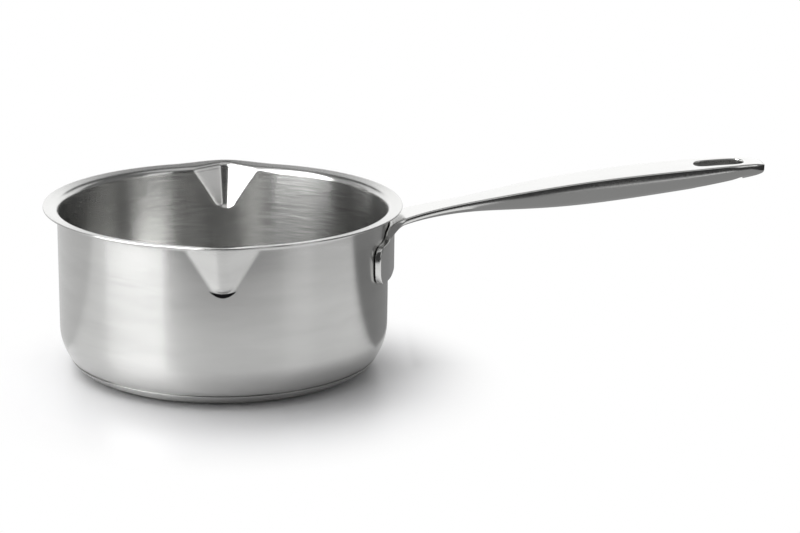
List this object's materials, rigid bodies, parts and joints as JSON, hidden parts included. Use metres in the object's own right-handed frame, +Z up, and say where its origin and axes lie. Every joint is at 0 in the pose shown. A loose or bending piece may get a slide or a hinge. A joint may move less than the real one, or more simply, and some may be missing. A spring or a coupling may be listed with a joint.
{
  "type": "milk pan",
  "caption": "Stainless steel milk pan with a flat flared rim, a pouring lip on each side, a sandwich base and one long cast handle with a hanging slot.",
  "frame": {"origin": "centre of the base where it rests on the table", "axes": "+Z up, +X along the handle towards its tip, the pouring lips face +Y and -Y"},
  "size_m": [0.3542, 0.1828, 0.1014],
  "materials": {
    "brushed_body": "satin",
    "base_steel": "satin",
    "handle_steel": "polished",
    "core_aluminium": "matte",
    "weld_steel": "matte"
  },
  "bodies": {
    "root": {"pan_body": "brushed_body", "base_cap": "base_steel", "heat_core": "core_aluminium", "handle": "handle_steel", "weld_nuggets": "weld_steel"}
  },
  "joints": []
}
